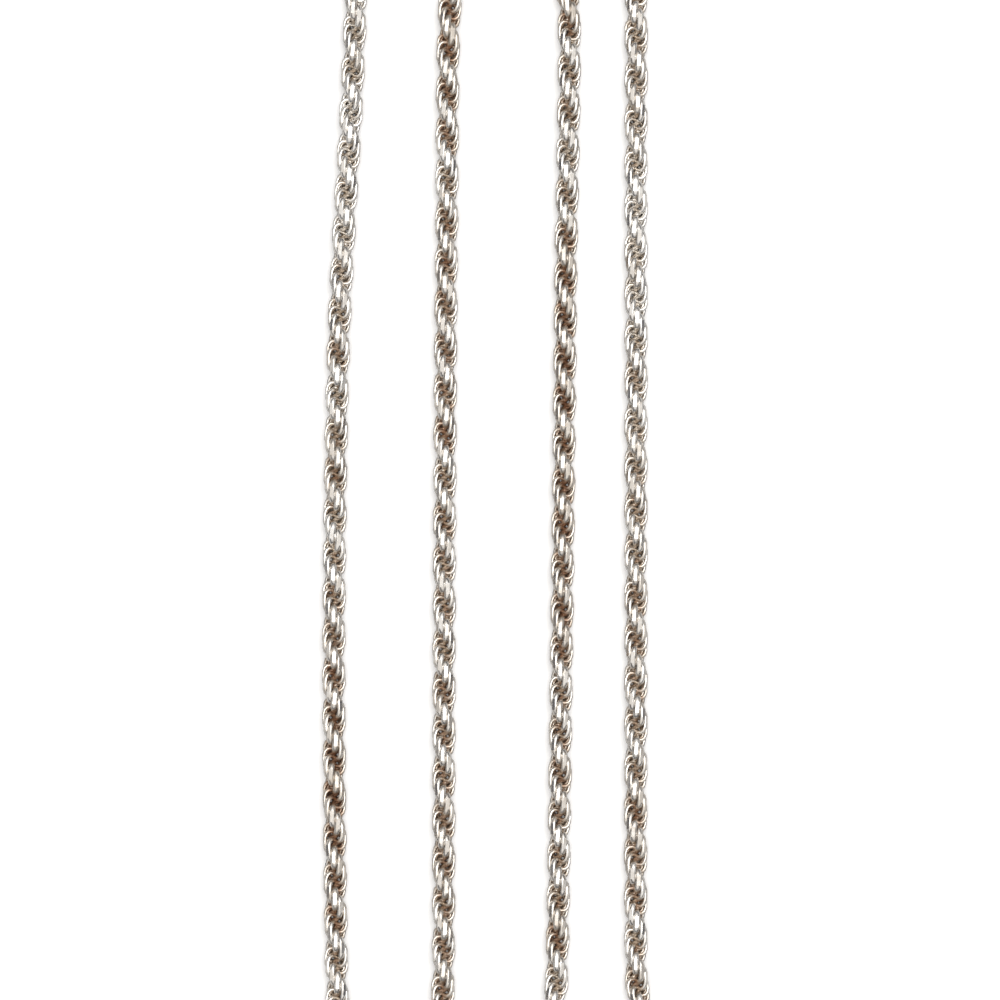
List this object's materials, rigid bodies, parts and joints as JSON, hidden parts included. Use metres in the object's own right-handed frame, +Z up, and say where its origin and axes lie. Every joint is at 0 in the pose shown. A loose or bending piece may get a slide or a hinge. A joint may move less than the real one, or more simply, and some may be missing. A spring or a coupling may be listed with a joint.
{
  "type": "rope chain",
  "caption": "Silver rope chain necklace: interlocking cut links twisted into a rope, laid in two flat folds, with a plain barrel clasp.",
  "frame": {"origin": "on the surface that the chain lies on, under the middle of its bounding box", "axes": "+Z up from the surface, +Y along the folds towards the clasp, which is the picture's up, and +X to the picture's right"},
  "size_m": [0.033, 0.126, 0.0036],
  "materials": {
    "rope_silver": "bright cut facets on polished silver, with brown tarnish in the hollows between the strands",
    "clasp_silver": "plain polished silver with a faint lathe grain"
  },
  "bodies": {
    "root": {"rope_chain_left": "rope_silver", "rope_chain_right": "rope_silver", "barrel_clasp": "clasp_silver"}
  },
  "joints": []
}
